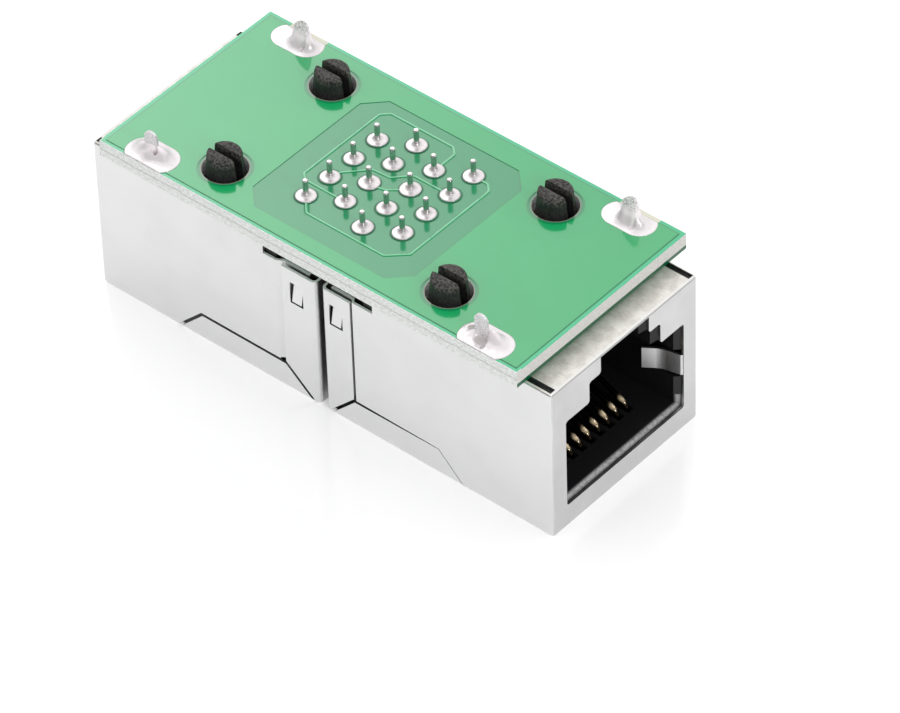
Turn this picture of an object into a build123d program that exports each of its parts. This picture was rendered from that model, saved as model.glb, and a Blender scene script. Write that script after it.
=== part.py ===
from build123d import *
from math import radians, tan
import os

# Inline coupler for eight-way network plugs: two shielded jacks back to back under one circuit board.
# Sizes are in millimetres. The origin is the middle of the footprint, on the surface the coupler rests on.
# +Z points up to the board and +X to the mouth of jack b. Jack a is jack b turned half round about Z,
# so every piece of a jack is drawn once, on the +X side.

# Jack and shield
jack_length = 20.9        # rear plate to front face
jack_width = 15.8
jack_height = 13.4
jack_gap = 0.5            # between the two rear plates
sheet = 0.2               # shield metal
front_fold = 0.25         # outer bend radius round the face and the bottom
rear_fold = 0.45          # outer bend radius of the two upright rear bends
fit = 0.05                # play between the moulded pieces and the shield
lip_length = 3.8          # top lip, from the front face back under the board
lip_slot = 0.5            # open slot beside each end of the lip

# Rear corners of the shield: the ears fold forward from the rear plate, one longer than the other
ear_length = 2.7
long_ear_length = 3.15
ear_drop = 1.85           # ear's top, below the jack's top
ear_window_width = 1.2
ear_window_height = 1.9
ear_window_drop = 1.15    # window's top, below the ear's top
ear_window_inset = 0.75   # from the ear's front edge
joggle = 0.22             # length of the step that takes the side wall behind the ear
long_joggle = 0.5         # the same beside the longer ear
tongue_gap = 0.12         # between the ear and that inner tongue of the wall
tongue_end = 0.75         # rear end of the tongue, from the rear face
notch_depth = 1.65
notch_length = 4.8        # rear notch, from the rear face
slit = 0.25               # cut lines round the bottom flap
closed_slit = 0.06        # the same where the -Y flap lies close to the wall, at its front end
flap_height = 2.3
flap_rear = 0.45          # flap's rear foot, from the rear face
flap_length = 7.8         # flap's top edge, from the ear forward
long_flap_length = 8.05   # the same beside the longer ear
catch_slit = 0.16         # cut round the catch that is pressed out of the tongue into the ear's window

# Plug port
port_width = 12.2
port_floor = 2.3
port_roof = 0.9           # top of the latch way, below the jack's top
port_setback = 8.0        # rear wall of the port, from the rear face
latch_width = 4.6
latch_rise = 1.05         # latch way above the step
step_width = 7.1
step_rise = 1.85          # step above the port's shoulders
port_bevel = 0.5
port_corner = 0.25
port_reveal = 0.3         # how far the shield's opening stands outside the port

# Side spring fingers of the shield
finger_low = 5.05
finger_high = 6.9
finger_sheet = 0.2
finger_knee = 1.7         # knee and tip, behind the front face and in from the opening's edge
finger_knee_inset = 0.35
finger_tip = 2.85
finger_tip_inset = 1.15
finger_bend = 1.8         # radius of the knee
finger_pocket = 0.35      # room round a finger in the housing

# Contact wires
contact_count = 8
contact_pitch = 1.016
wire = 0.42
wire_run = 1.15           # height of the wires under the port's floor
wire_bend = 0.85
nose_bend = 0.9
nose_depth = 2.84         # foremost wire centre, behind the front face
rise_angle = 25           # slope of the wires towards the rear
wire_end = 7.75           # free ends, behind the front face
slot_width = 0.64         # slots of the comb that keep the wires apart
comb_height = 5.25
comb_length = 5.65        # from the port's rear wall
fan_length = 2.2          # stretch in which the wires spread to the pin pitch
wire_play = 0.03          # round a wire in the carrier

# Pins, pegs and tabs
pin_pitch = 1.27
row_pitch = 2.54
row_setback = 1.1         # inner row, from the rear face
pin_rise = 1.5            # above the board
peg_from_pins = 8.95      # pegs, ahead of the inner row
peg_spacing = 11.43
peg_foot = 3.1            # diameter where the peg leaves its collar
peg_head = 2.5
peg_rise = 1.5            # above the board
peg_slot = 0.7
peg_round = 0.3
collar = 4.6
tab_from_pins = 13.95     # solder tabs, ahead of the inner row
tab_stagger = 0.3         # the -Y tab stands this much further back
tab_width = 1.15
tab_shoulder = 2.4
tab_shoulder_angle = 35
tab_rise = 2.0            # above the board

# Circuit board
board_length = 38.4
board_overhang = 1.2      # beyond each side wall of the shields
board_thickness = 1.45
board_lift = 0.5          # above the shields
copper = 0.04
pour_inset = 0.35
peg_hole = 3.4
peg_ring = 3.9            # bare ring in the pour round each peg
pin_hole = 0.85
pin_pad = 1.6
tab_hole_length = 1.9
tab_hole_width = 0.75
tab_pad_length = 4.4
tab_pad_width = 2.6
near_pad_margin = 0.05    # left bare between the pad and the board's edge
far_pad_margin = 0.4
track = 0.18
island_length = 14.9
island_width = 14.4
island_shift = -0.3
island_corner = 1.5

# Solder
pin_fillet = 0.35         # height of the solder on a pin
tab_fillet = 1.1          # height of the solder on the tabs of the -Y side
tab_climb = 1.7           # the same on the +Y side
solder_film = 0.3
climb_foot = 1.3          # reach of a climb beside the tab, where it leaves the film
climb_knee = 0.55         # the same one film higher
climb_waist = 0.25        # halfway up
climb_end = 0.1
climb_flatness = 0.6      # reach in front of the tab, as a share of the reach beside it

# Carrier
pocket_wall = 0.9         # housing cheek beside the carrier
port_back_wall = 0.85
carrier_drop = 0.5        # carrier's top, below the jack's top
carrier_foot = 2.6        # height of the foot that guides the wires forward
carrier_depth = 4.45      # upright part, front to back

rear_x = jack_gap / 2
front_x = rear_x + jack_length
half_width = jack_width / 2
inner_half = half_width - sheet
inner_rear = rear_x + sheet
inner_front = front_x - sheet
inner_top = jack_height - sheet
ear_lengths = {-1: ear_length, 1: long_ear_length}
joggles = {-1: joggle, 1: long_joggle}
flap_lengths = {-1: flap_length, 1: long_flap_length}
slit_ends = {-1: closed_slit, 1: slit}
ear_top = jack_height - ear_drop
ear_window_high = ear_top - ear_window_drop
ear_window_low = ear_window_high - ear_window_height
notch_floor = jack_height - notch_depth
moulding_half = inner_half - fit
moulding_rear = inner_rear + fit
latch_top = jack_height - port_roof
step_top = latch_top - latch_rise
port_shoulder = step_top - step_rise
port_rear = rear_x + port_setback
pocket_front = port_rear - port_back_wall
pocket_half = moulding_half - pocket_wall
lip_rear = front_x - lip_length
carrier_top = jack_height - carrier_drop
board_width = jack_width + 2 * board_overhang
board_bottom = jack_height + board_lift
board_top = board_bottom + board_thickness
inner_row = rear_x + row_setback
outer_row = inner_row + row_pitch
peg_x = inner_row + peg_from_pins
tab_x = inner_row + tab_from_pins
tab_places = {-1: tab_x - tab_stagger, 1: tab_x}
tab_y = half_width - sheet / 2
nose_x = front_x - nose_depth
comb_front_x = port_rear + comb_length

os.makedirs("parts", exist_ok=True)


def save(piece, name, turn=0):
    """Turn a finished piece about Z, label it and write it."""
    placed = piece.rotate(Axis.Z, turn)
    placed.label = name
    export_step(placed, f"parts/{name}.step")


def port_outline(grow, top):
    """Corners of the plug port in the Y-Z plane, larger all round by grow."""
    half = port_width / 2 + grow
    step_half = step_width / 2 + grow
    latch_half = latch_width / 2 + grow
    right = [
        (half, port_floor - grow),
        (half, port_shoulder + grow),
        (step_half, port_shoulder + grow),
        (step_half, step_top + grow),
        (latch_half, step_top + grow),
        (latch_half, top),
    ]
    left = [(-y, z) for y, z in reversed(right)]
    return right + left


def contact_y(index):
    """Place of a contact across the port."""
    return (index - (contact_count - 1) / 2) * contact_pitch


def pin_place(index):
    """Place of a contact's pin on the board: even ones stand in the inner row."""
    row = inner_row if index % 2 == 0 else outer_row
    return row, (index - (contact_count - 1) / 2) * pin_pitch


def wire_points(index, top):
    """Corners of a contact wire, from its pin down, forward under the port, round the nose and up."""
    x, y = pin_place(index)
    port_y = contact_y(index)
    rise = radians(rise_angle)
    turn = nose_bend * tan((radians(90) - rise) / 2)
    nose_z = wire_run + wire_bend + turn + wire_play
    end_x = front_x - wire_end
    fan_end = pocket_front - fit
    return [
        (x, y, top),
        (x, y, wire_run),
        (fan_end - fan_length, y, wire_run),
        (fan_end, port_y, wire_run),
        (nose_x, port_y, wire_run),
        (nose_x, port_y, nose_z),
        (end_x, port_y, nose_z + (nose_x - end_x) * tan(rise)),
    ]


wire_radii = [wire_bend, nose_bend, nose_bend, wire_bend, nose_bend]

# Shield: the outer form, less the hollow inside it
with BuildPart() as shield_form:
    with BuildSketch():
        with Locations(((rear_x + front_x) / 2, 0)):
            Rectangle(jack_length, jack_width)
    extrude(amount=jack_height)
    uprights = shield_form.edges().filter_by(Axis.Z).group_by(Axis.X)
    fillet(uprights[0], rear_fold)
    fillet(shield_form.edges().filter_by(Axis.Z).group_by(Axis.X)[-1], front_fold)
    fillet(shield_form.faces().sort_by(Axis.Z)[0].edges(), front_fold)
    crossing = shield_form.edges().filter_by(Axis.Y).group_by(Axis.Z)[-1]
    fillet(crossing.sort_by(Axis.X)[-1], front_fold)

with BuildPart() as shield_hollow:
    with BuildSketch(Plane.XY.offset(sheet)):
        with Locations(((inner_rear + inner_front) / 2, 0)):
            Rectangle(inner_front - inner_rear, 2 * inner_half)
    extrude(amount=inner_top - sheet)
    uprights = shield_hollow.edges().filter_by(Axis.Z).group_by(Axis.X)
    fillet(uprights[0], rear_fold - sheet)
    fillet(shield_hollow.edges().filter_by(Axis.Z).group_by(Axis.X)[-1], front_fold - sheet)
    fillet(shield_hollow.faces().sort_by(Axis.Z)[0].edges(), front_fold - sheet)
    crossing = shield_hollow.edges().filter_by(Axis.Y).group_by(Axis.Z)[-1]
    fillet(crossing.sort_by(Axis.X)[-1], front_fold - sheet)

with BuildPart() as shield:
    add(shield_form.part)
    add(shield_hollow.part, mode=Mode.SUBTRACT)
    # The roof is open behind the lip, and a slot parts the lip from each side wall
    with BuildSketch(Plane.XY.offset(inner_top - sheet)):
        with Locations(((rear_x + lip_rear) / 2, 0)):
            Rectangle(lip_rear - rear_x, 2 * inner_half)
        for side in (-1, 1):
            with Locations(((lip_rear + inner_front) / 2, side * (inner_half - lip_slot / 2))):
                Rectangle(inner_front - lip_rear, lip_slot)
    extrude(amount=3 * sheet, mode=Mode.SUBTRACT)
    # Rear plate and ears stop below the walls, which have a notch there
    with BuildSketch(Plane.XY.offset(ear_top)):
        with Locations((rear_x, 0)):
            Rectangle(2 * sheet, jack_width, align=(Align.MIN, Align.CENTER))
    extrude(amount=jack_height, mode=Mode.SUBTRACT)
    # Port opening in the front face
    with BuildSketch(Plane.YZ.offset(inner_front - sheet)):
        with BuildLine():
            Polyline(port_outline(port_reveal, inner_top), close=True)
        make_face()
        fillet(vertices().group_by(Axis.Y)[:-1], port_corner)
    extrude(amount=3 * sheet, mode=Mode.SUBTRACT)
    for side in (-1, 1):
        wall_middle = Plane.XZ.offset(-side * (half_width - sheet / 2))
        ear_front = rear_x + ear_lengths[side]
        wall_rear = ear_front + joggles[side]
        window_x = ear_front - ear_window_inset - ear_window_width / 2
        flap_front = ear_front + flap_lengths[side]
        # Ear top, rear notch and the stretch where the wall steps in
        with BuildSketch(wall_middle):
            with Locations((rear_x, ear_top)):
                Rectangle(ear_lengths[side], jack_height, align=(Align.MIN, Align.MIN))
            with Locations((ear_front, flap_height)):
                Rectangle(joggles[side], jack_height, align=(Align.MIN, Align.MIN))
            with Locations((rear_x, notch_floor)):
                Rectangle(notch_length, jack_height, align=(Align.MIN, Align.MIN))
        extrude(amount=sheet, both=True, mode=Mode.SUBTRACT)
        # Slit that frees the bottom flap from the wall and the ear
        slit_end = slit_ends[side]
        with BuildSketch(wall_middle):
            with BuildLine() as rear_cut:
                Line((rear_x + flap_rear - slit, -slit), (ear_front, flap_height))
            trace(rear_cut.line, line_width=slit)
            with BuildLine():
                Polyline(
                    (ear_front, flap_height + slit / 2),
                    (flap_front, flap_height + slit_end / 2),
                    (flap_front, flap_height - slit_end / 2),
                    (ear_front, flap_height - slit / 2),
                    close=True,
                )
            make_face()
            with BuildLine() as front_cut:
                Line((flap_front, flap_height), (flap_front + flap_height + slit, -slit))
            trace(front_cut.line, line_width=slit_end)
            with Locations((ear_front, flap_height)):
                Circle(slit / 2)
            with Locations((flap_front, flap_height)):
                Circle(slit_end / 2)
        extrude(amount=sheet, both=True, mode=Mode.SUBTRACT)
        # Inner tongue behind the ear, joined to the wall by the step
        tongue_face = inner_half - tongue_gap
        with BuildSketch(Plane.XY.offset(flap_height + slit)):
            with BuildLine():
                Polyline(
                    (wall_rear + sheet, side * half_width),
                    (wall_rear, side * half_width),
                    (ear_front, side * tongue_face),
                    (rear_x + tongue_end, side * tongue_face),
                    (rear_x + tongue_end, side * (tongue_face - sheet)),
                    (ear_front + fit, side * (tongue_face - sheet)),
                    (wall_rear + fit, side * inner_half),
                    (wall_rear + sheet, side * inner_half),
                    close=True,
                )
            make_face()
        extrude(amount=notch_floor - flap_height - slit)
        # Window through the ear and the tongue, then the catch that slants out into it
        with BuildSketch(wall_middle):
            with Locations((window_x, (ear_window_low + ear_window_high) / 2)):
                Rectangle(ear_window_width, ear_window_high - ear_window_low)
        extrude(amount=2 * sheet + tongue_gap, both=True, mode=Mode.SUBTRACT)
        with BuildSketch(Plane.YZ.offset(window_x)):
            with BuildLine():
                Polyline(
                    (side * (tongue_face - sheet), ear_window_high),
                    (side * (half_width - sheet), ear_window_low + catch_slit),
                    (side * half_width, ear_window_low + catch_slit),
                    (side * tongue_face, ear_window_high),
                    close=True,
                )
            make_face()
        extrude(amount=ear_window_width / 2 - catch_slit, both=True)
        # Spring finger, bent in from the edge of the port
        with BuildSketch(Plane.XY.offset(finger_low)):
            edge_y = side * (port_width / 2 + port_reveal)
            with BuildLine() as finger_line:
                FilletPolyline(
                    (front_x - sheet / 2, edge_y + side * sheet),
                    (front_x - sheet / 2, edge_y),
                    (front_x - finger_knee, edge_y - side * finger_knee_inset),
                    (front_x - finger_tip, edge_y - side * finger_tip_inset),
                    radius=[sheet, finger_bend],
                )
            trace(finger_line.line, line_width=finger_sheet)
        extrude(amount=finger_high - finger_low)
        # Solder tab with a round end, up through the board from the top of the wall
        tab_round_z = board_top + tab_rise - tab_width / 2
        with BuildSketch(wall_middle):
            with Locations((tab_places[side], inner_top)):
                Rectangle(tab_shoulder, sheet, align=(Align.CENTER, Align.MIN))
            with Locations((tab_places[side], jack_height)):
                Trapezoid(tab_shoulder, board_lift - fit, tab_shoulder_angle, align=(Align.CENTER, Align.MIN))
            with Locations((tab_places[side], jack_height)):
                Rectangle(tab_width, tab_round_z - jack_height, align=(Align.CENTER, Align.MIN))
            with Locations((tab_places[side], tab_round_z)):
                Circle(tab_width / 2)
        extrude(amount=sheet / 2, both=True)

save(shield.part, "shield_a", 180)
save(shield.part, "shield_b")

# Housing: a block with the plug port, open at the rear for the contact carrier
with BuildPart() as housing:
    with BuildSketch(Plane.XY.offset(sheet)):
        with BuildLine():
            narrow = inner_half - tongue_gap - sheet - fit
            narrow_end = rear_x + long_ear_length + long_joggle + 2 * fit
            Polyline(
                (inner_front, moulding_half),
                (narrow_end, moulding_half),
                (narrow_end, narrow),
                (moulding_rear, narrow),
                (moulding_rear, -narrow),
                (narrow_end, -narrow),
                (narrow_end, -moulding_half),
                (inner_front, -moulding_half),
                close=True,
            )
        make_face()
    extrude(amount=inner_top - sheet)
    chamfer(housing.faces().sort_by(Axis.X)[-1].edges().filter_by(Axis.Y), front_fold - sheet)
    # Rear pocket
    with BuildSketch():
        with Locations((moulding_rear, 0)):
            Rectangle(pocket_front - moulding_rear, 2 * pocket_half, align=(Align.MIN, Align.CENTER))
    extrude(amount=jack_height, mode=Mode.SUBTRACT)
    # Plug port with its lead-in bevel
    with BuildSketch(Plane.YZ.offset(port_rear)):
        with BuildLine():
            Polyline(port_outline(0, latch_top), close=True)
        make_face()
    extrude(amount=inner_front - port_rear, mode=Mode.SUBTRACT)
    mouth = housing.faces().sort_by(Axis.X)[-1].inner_wires().edges()
    chamfer(mouth, port_bevel)
    # Comb at the back of the port, then the slots for the wires
    with BuildSketch(Plane.XY.offset(port_floor)):
        with Locations((port_rear, 0)):
            Rectangle(comb_front_x - port_rear, port_width, align=(Align.MIN, Align.CENTER))
    extrude(amount=comb_height - port_floor)
    slot_front = nose_x + wire
    with BuildSketch(Plane.XY.offset(wire_run - slot_width / 2)):
        with Locations(((pocket_front + slot_front) / 2, 0)):
            with GridLocations(0, contact_pitch, 1, contact_count):
                Rectangle(slot_front - pocket_front, slot_width)
    extrude(amount=comb_height, mode=Mode.SUBTRACT)
    # The back wall closes again above the wires
    with BuildSketch(Plane.XY.offset(port_floor)):
        with Locations((pocket_front, 0)):
            Rectangle(port_back_wall, port_width, align=(Align.MIN, Align.CENTER))
    extrude(amount=port_shoulder - port_floor)
    # Pockets behind the spring fingers
    with BuildSketch(Plane.XY.offset(finger_low - finger_pocket)):
        pocket_depth = finger_tip + 2 * finger_pocket
        pocket_width = port_width + 2 * (port_reveal + finger_pocket)
        with Locations((front_x - pocket_depth, 0)):
            Rectangle(pocket_depth, pocket_width, align=(Align.MIN, Align.CENTER))
    extrude(amount=finger_high - finger_low + 2 * finger_pocket, mode=Mode.SUBTRACT)
    # Collars that carry the board
    with BuildSketch(Plane.XY.offset(inner_top)):
        with Locations((peg_x, 0)):
            with GridLocations(0, peg_spacing, 1, 2):
                Circle(collar / 2)
            Rectangle(collar, 2 * moulding_half, mode=Mode.INTERSECT)
    extrude(amount=board_bottom - inner_top)
    # Split pegs
    for side in (-1, 1):
        with BuildSketch(Plane.XY.offset(board_bottom)):
            with Locations((peg_x, side * peg_spacing / 2)):
                Circle(peg_foot / 2)
        with BuildSketch(Plane.XY.offset(board_top + peg_rise)):
            with Locations((peg_x, side * peg_spacing / 2)):
                Circle(peg_head / 2)
        loft()
    fillet(housing.faces().group_by(Axis.Z)[-1].edges(), peg_round)
    with BuildSketch(Plane.XY.offset(board_bottom)):
        with Locations((peg_x, 0)):
            with GridLocations(0, peg_spacing, 1, 2):
                Rectangle(peg_foot, peg_slot)
    extrude(amount=board_thickness + 2 * peg_rise, mode=Mode.SUBTRACT)

save(housing.part, "housing_a", 180)
save(housing.part, "housing_b")

# Contact wires, and the carrier with a channel round each of them
contacts = []
channels = []
for index in range(contact_count):
    with BuildPart() as contact:
        with BuildLine() as route:
            FilletPolyline(*wire_points(index, board_top + pin_rise), radius=wire_radii)
        with BuildSketch(Plane(origin=route.line @ 0, z_dir=route.line % 0)):
            Circle(wire / 2)
        sweep()
        fillet(contact.faces().sort_by(Axis.Z)[-1].edges(), wire / 4)
    contacts.append(contact.part)
    with BuildPart() as channel:
        with BuildLine() as route:
            FilletPolyline(*wire_points(index, board_bottom)[:5], radius=wire_radii[:3])
        with BuildSketch(Plane(origin=route.line @ 0, z_dir=route.line % 0)):
            Circle(wire / 2 + wire_play)
        sweep()
    channels.append(channel.part)

for index, piece in enumerate(contacts, start=1):
    save(piece, f"contact_a_{index}", 180)
    save(piece, f"contact_b_{index}")

carrier_width = 2 * (pocket_half - fit)
with BuildPart() as carrier:
    with BuildSketch(Plane.XY.offset(sheet)):
        with Locations((moulding_rear, 0)):
            Rectangle(carrier_depth, carrier_width, align=(Align.MIN, Align.CENTER))
    extrude(amount=carrier_top - sheet)
    with BuildSketch(Plane.XY.offset(sheet)):
        with Locations((moulding_rear, 0)):
            Rectangle(pocket_front - fit - moulding_rear, carrier_width, align=(Align.MIN, Align.CENTER))
    extrude(amount=carrier_foot - sheet)
    for piece in channels:
        add(piece, mode=Mode.SUBTRACT)

save(carrier.part, "contact_carrier_a", 180)
save(carrier.part, "contact_carrier_b")

# Circuit board: laminate, copper pour outside the plain island, tracks, then the holes
row_a = [(-x, -y) for x, y in (pin_place(index) for index in range(contact_count))]
row_b = [pin_place(index) for index in range(contact_count)]

# Each track runs from a pin of jack a to the pin of jack b on the same line of the cable
top_tracks = [
    [row_a[7], (-3.3, -5.1), (-2.7, -5.75), (4.4, -5.75), (5.75, -4.5), (5.75, 3.9), (5.2, 4.45), row_b[7]],
    [
        row_b[6], (inner_row, 5.4), (0.75, 5.95), (-5.0, 5.95),
        (-5.6, 5.35), (-5.6, -2.7), (-5.1, -3.175), row_a[6],
    ],
    [row_a[5], (-3.7, -1.1), (-2.1, 0.6), (-0.6, 0.7), (0.6, 1.9), row_b[5]],
    [row_a[4], (-0.6, -0.635), (0.0, -0.5), row_b[4]],
]
bottom_tracks = [
    [row_a[3], (-2.6, -0.6), (-2.2, -1.6), (0.0, -1.905), (0.0, -2.8), (2.6, -3.1), (2.6, -1.9), row_b[3]],
    [
        row_a[1], (-4.6, 3.175), (-5.2, 3.8), (-5.2, 5.2), (-4.6, 5.8),
        (4.6, 5.8), (5.2, 5.2), (5.2, -2.6), row_b[1],
    ],
    [row_a[2], row_b[2]],
    [
        row_a[0], (-2.6, 3.2), (-2.6, 2.4), (-4.6, 1.9), (-5.2, 1.3),
        (-5.2, -5.2), (-4.6, -5.8), (0.7, -5.8), row_b[0],
    ],
]
half_length = island_length / 2
island_low = island_shift - island_width / 2
island_high = island_shift + island_width / 2
island = [
    (half_length, island_low + island_corner),
    (half_length, island_high - island_corner),
    (half_length - island_corner, island_high),
    (-half_length + island_corner, island_high),
    (-half_length, island_high - island_corner),
    (-half_length, island_low + island_corner),
    (-half_length + island_corner, island_low),
    (half_length - island_corner, island_low),
]

with BuildPart() as circuit_board:
    with BuildSketch(Plane.XY.offset(board_bottom + copper)):
        Rectangle(board_length, board_width)
    extrude(amount=board_thickness - 2 * copper)
    for height, tracks in ((board_bottom, bottom_tracks), (board_top - copper, top_tracks)):
        with BuildSketch(Plane.XY.offset(height)):
            Rectangle(board_length - 2 * pour_inset, board_width - 2 * pour_inset)
            with BuildLine():
                Polyline(island, close=True)
            make_face(mode=Mode.SUBTRACT)
            with GridLocations(2 * peg_x, peg_spacing, 2, 2):
                Circle(peg_ring / 2, mode=Mode.SUBTRACT)
            for points in tracks:
                with BuildLine() as track_line:
                    Polyline(points)
                trace(track_line.line, line_width=track)
            with Locations(*row_a, *row_b):
                Circle(pin_pad / 2)
        extrude(amount=copper)
    with BuildSketch(Plane.XY.offset(board_bottom)):
        with GridLocations(2 * peg_x, peg_spacing, 2, 2):
            Circle(peg_hole / 2)
        with Locations(*row_a, *row_b):
            Circle(pin_hole / 2)
        with GridLocations(2 * tab_x, 2 * tab_y, 2, 2):
            SlotOverall(tab_hole_length, tab_hole_width)
    extrude(amount=board_thickness, mode=Mode.SUBTRACT)

save(circuit_board.part, "circuit_board")

# Solder on the pins: it fills each hole round the pin and rises in a hollow cone on top
with BuildPart() as pin_joint:
    with BuildSketch(Plane.XZ):
        with BuildLine():
            foot = pin_pad / 2
            Polyline(
                (wire / 2, board_top + pin_fillet),
                (wire / 2, board_bottom),
                (pin_hole / 2, board_bottom),
                (pin_hole / 2, board_top),
                (foot, board_top),
                (foot, board_top + copper),
            )
            RadiusArc((foot, board_top + copper), (wire / 2, board_top + pin_fillet), -2 * foot)
        make_face()
    revolve(axis=Axis.Z)

with BuildPart() as pin_solder:
    with Locations(*row_b):
        add(pin_joint.part)

save(pin_solder.part, "pin_solder_a", 180)
save(pin_solder.part, "pin_solder_b")


def tab_joint(side, rise, margin):
    """Solder on one shield tab: it fills the slot, covers the pad and climbs the tab by the given rise.

    Margin is what stays bare between the pad and the board's edge.
    """
    with BuildPart() as joint:
        with BuildSketch(Plane.XY.offset(board_bottom)):
            with Locations((tab_x, side * tab_y)):
                SlotOverall(tab_hole_length, tab_hole_width)
        extrude(amount=board_thickness)
        with BuildSketch(Plane.XY.offset(board_top)):
            with Locations((tab_x, side * tab_y)):
                SlotOverall(tab_pad_length, tab_pad_width)
            Rectangle(board_length, board_width - 2 * margin, mode=Mode.INTERSECT)
        extrude(amount=solder_film)
        fillet(joint.faces().sort_by(Axis.Z)[-1].edges(), solder_film / 2)
        # The solder draws in steeply at first and then follows the tab
        heights = [solder_film, 2 * solder_film, rise / 2, rise]
        for height, spread in zip(heights, [climb_foot, climb_knee, climb_waist, climb_end]):
            with BuildSketch(Plane.XY.offset(board_top + height)):
                with Locations((tab_places[side], side * tab_y)):
                    SlotOverall(tab_width + 2 * spread, sheet + 2 * climb_flatness * spread)
        loft(ruled=True)
        add(shield.part, mode=Mode.SUBTRACT)
    return joint.part


save(tab_joint(1, tab_fillet, near_pad_margin), "tab_solder_a_near", 180)
save(tab_joint(-1, tab_climb, far_pad_margin), "tab_solder_a_far", 180)
save(tab_joint(-1, tab_fillet, near_pad_margin), "tab_solder_b_near")
save(tab_joint(1, tab_climb, far_pad_margin), "tab_solder_b_far")
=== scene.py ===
"""Dress the inline coupler: two shielded jacks back to back under one board, on a white studio floor."""

import logging
import math
from dataclasses import dataclass
from enum import Enum
from typing import Sequence, Union

import bmesh
import bpy
from mathutils import Matrix, Vector, noise


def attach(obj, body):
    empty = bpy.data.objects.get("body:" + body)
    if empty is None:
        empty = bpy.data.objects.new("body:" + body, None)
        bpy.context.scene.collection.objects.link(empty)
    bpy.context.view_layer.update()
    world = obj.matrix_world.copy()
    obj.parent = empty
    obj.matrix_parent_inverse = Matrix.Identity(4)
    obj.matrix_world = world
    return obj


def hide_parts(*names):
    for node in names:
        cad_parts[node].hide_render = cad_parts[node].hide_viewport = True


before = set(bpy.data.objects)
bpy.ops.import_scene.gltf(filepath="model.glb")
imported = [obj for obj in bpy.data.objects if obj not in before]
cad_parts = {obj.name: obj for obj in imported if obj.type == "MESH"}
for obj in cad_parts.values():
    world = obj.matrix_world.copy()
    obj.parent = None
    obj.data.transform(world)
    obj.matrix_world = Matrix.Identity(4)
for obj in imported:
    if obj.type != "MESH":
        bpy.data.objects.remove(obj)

Material, Mesh, Socket = bpy.types.Material, bpy.types.Mesh, bpy.types.NodeSocket

MM = 0.001
SUNK = 0.005
LOG = logging.getLogger("coupler")


class End(Enum):
    """The two jacks, with the side of the board that each lies on."""

    A = -1
    B = 1

    @property
    def letter(self) -> str:
        """The letter that the frame's node names use for this jack."""
        return self.name.lower()


class Row(Enum):
    """The two long sides of the coupler, with the sign of Y on each."""

    NEAR = -1
    FAR = 1


# Building shaders and node trees

Number = Union["Channel", float, int]


class Channel:
    """A number that varies over a surface or a mesh: one output socket that Python's operators work on."""

    def __init__(self, book: "NodeBook", socket: Socket) -> None:
        """Hold a socket.

        Args:
            book: The node book that owns the socket's tree.
            socket: The output that carries the number.
        """
        self.book = book
        self.socket = socket

    def _math(self, operation: str, *values: Number) -> "Channel":
        """Add one Math node.

        Args:
            operation: The Math node's operation.
            values: Its inputs in order.

        Returns:
            The result's channel.
        """
        node = self.book.node("ShaderNodeMath", {"operation": operation}, dict(enumerate(values)))
        return Channel(self.book, node.outputs[0])

    def __add__(self, other: Number) -> "Channel":
        """Sum."""
        return self._math("ADD", self, other)

    def __radd__(self, other: Number) -> "Channel":
        """Sum with the number first."""
        return self._math("ADD", other, self)

    def __sub__(self, other: Number) -> "Channel":
        """Difference."""
        return self._math("SUBTRACT", self, other)

    def __rsub__(self, other: Number) -> "Channel":
        """Difference with the number first."""
        return self._math("SUBTRACT", other, self)

    def __mul__(self, other: Number) -> "Channel":
        """Product."""
        return self._math("MULTIPLY", self, other)

    def __rmul__(self, other: Number) -> "Channel":
        """Product with the number first."""
        return self._math("MULTIPLY", other, self)

    def __truediv__(self, other: Number) -> "Channel":
        """Quotient."""
        return self._math("DIVIDE", self, other)

    def __pow__(self, other: Number) -> "Channel":
        """Power."""
        return self._math("POWER", self, other)

    def __abs__(self) -> "Channel":
        """Size without the sign."""
        return self._math("ABSOLUTE", self)

    def __gt__(self, other: Number) -> "Channel":
        """1 where this is greater, else 0."""
        return self._math("GREATER_THAN", self, other)

    def __lt__(self, other: Number) -> "Channel":
        """1 where this is less, else 0."""
        return self._math("LESS_THAN", self, other)

    def largest(self, other: Number) -> "Channel":
        """The greater of two."""
        return self._math("MAXIMUM", self, other)

    def smallest(self, other: Number) -> "Channel":
        """The lesser of two."""
        return self._math("MINIMUM", self, other)

    def wrapped(self, low: float, high: float) -> "Channel":
        """This number, wrapped into a range."""
        return self._math("WRAP", self, high, low)

    def cosine(self) -> "Channel":
        """Cosine."""
        return self._math("COSINE", self)

    def sine(self) -> "Channel":
        """Sine."""
        return self._math("SINE", self)

    def ramped(self, start: float, stop: float) -> "Channel":
        """Rise smoothly from 0 to 1.

        Args:
            start: Where the rise begins.
            stop: Where it ends. A stop below the start gives a fall.

        Returns:
            The smooth step.
        """
        if stop < start:
            return 1 - self.ramped(stop, start)
        node = self.book.node("ShaderNodeMapRange", {"interpolation_type": "SMOOTHSTEP"},
                              {"Value": self, "From Min": start, "From Max": stop})
        return Channel(self.book, node.outputs[0])

    def line(self, width: float) -> "Channel":
        """1 on a soft line of the given width where this number is 0."""
        return abs(self).ramped(width / 2, width / 4)


def length(first: Channel, second: Channel) -> Channel:
    """Length of a flat vector from its two parts."""
    return (first * first + second * second) ** 0.5


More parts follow.
